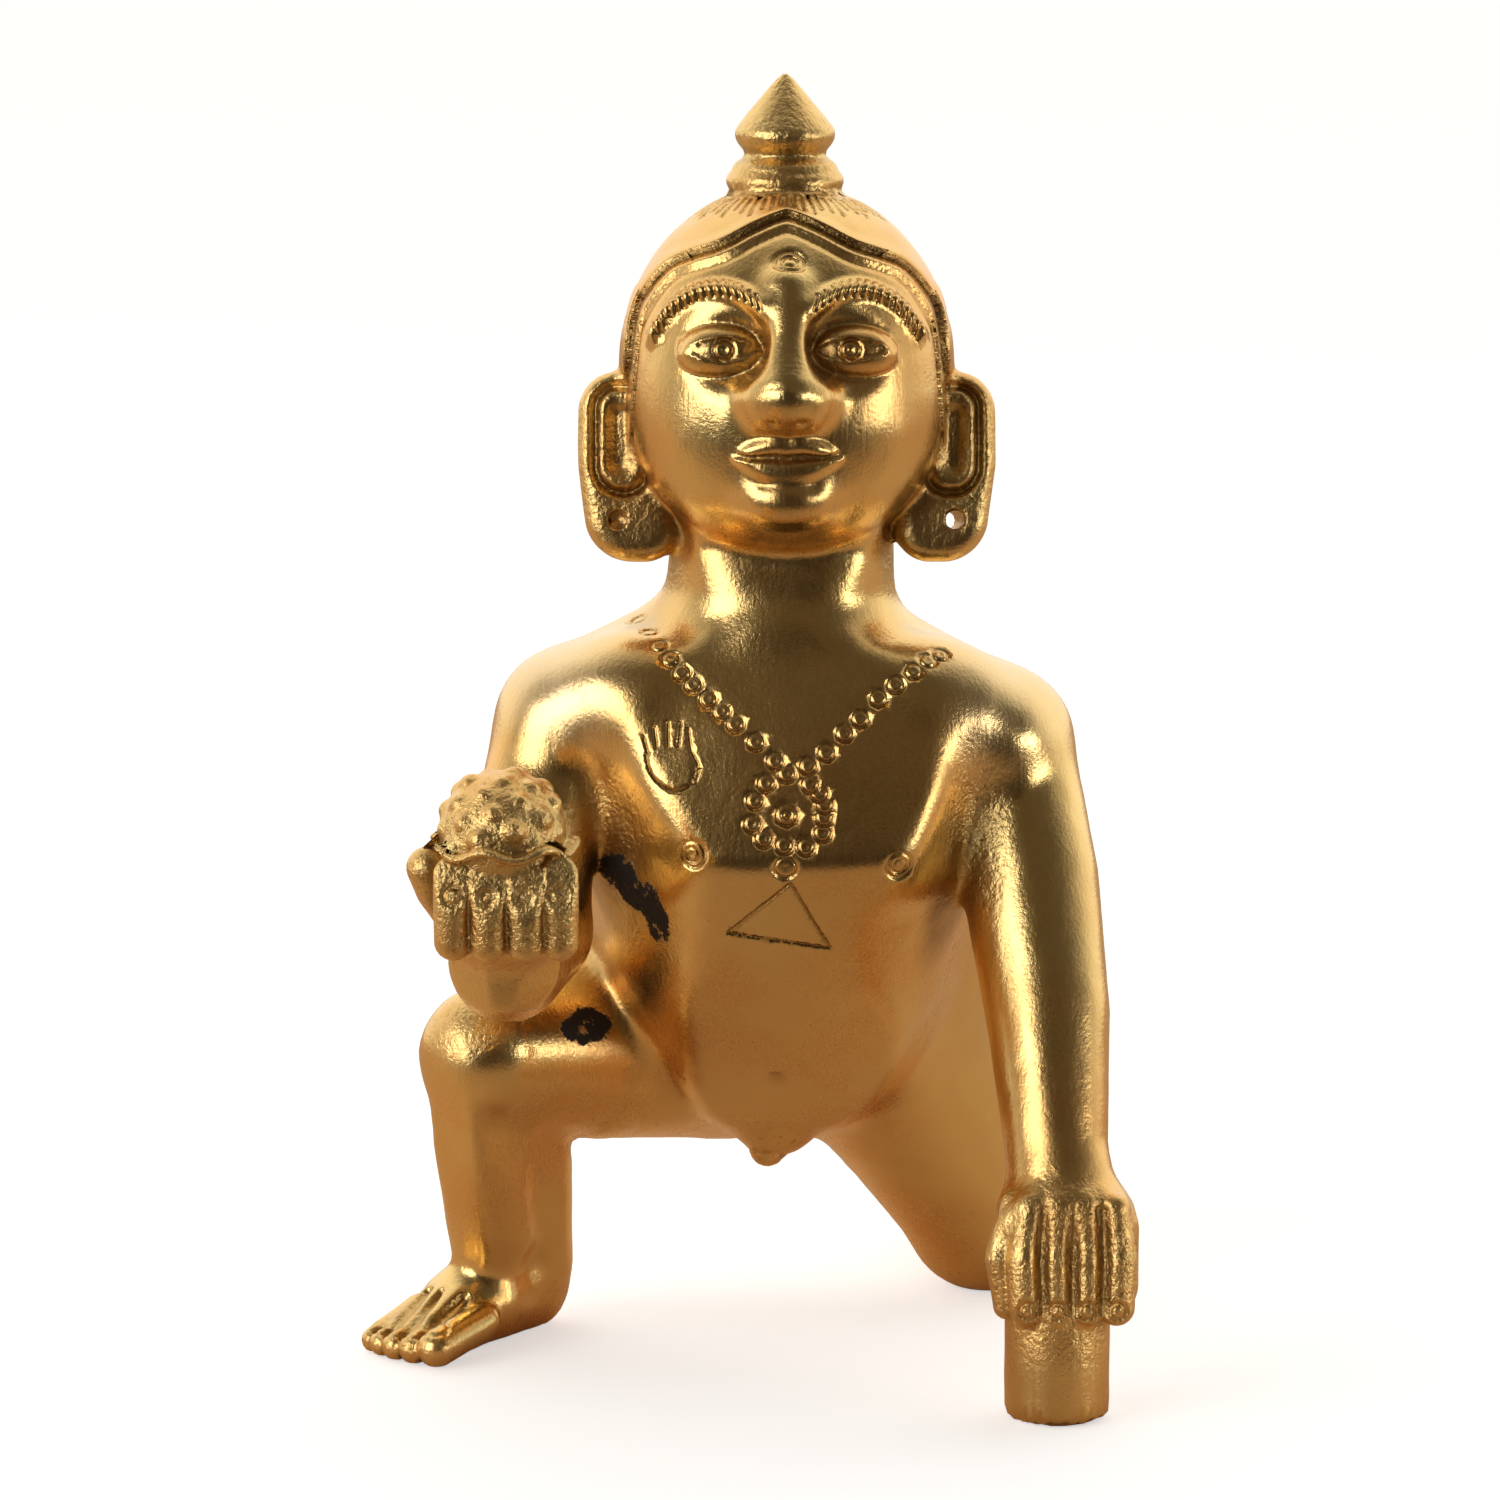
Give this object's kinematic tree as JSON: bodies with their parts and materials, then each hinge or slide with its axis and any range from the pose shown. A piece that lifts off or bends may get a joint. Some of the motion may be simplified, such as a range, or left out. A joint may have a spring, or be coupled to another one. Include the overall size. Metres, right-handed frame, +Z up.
{
  "type": "laddu gopal idol",
  "caption": "Cast brass crawling child figure on one knee, one hand on a short peg, the other holding up a round sweet.",
  "frame": {"origin": "on the ground, at the centre of the figure's bounding box seen from above", "axes": "+Z up along the figure's height, -Y the way it faces, +X its left side"},
  "size_m": [0.069, 0.0932, 0.1161],
  "materials": {
    "brass": "polished, with rough cast hollows"
  },
  "bodies": {
    "root": {"figure": "brass"}
  },
  "joints": []
}
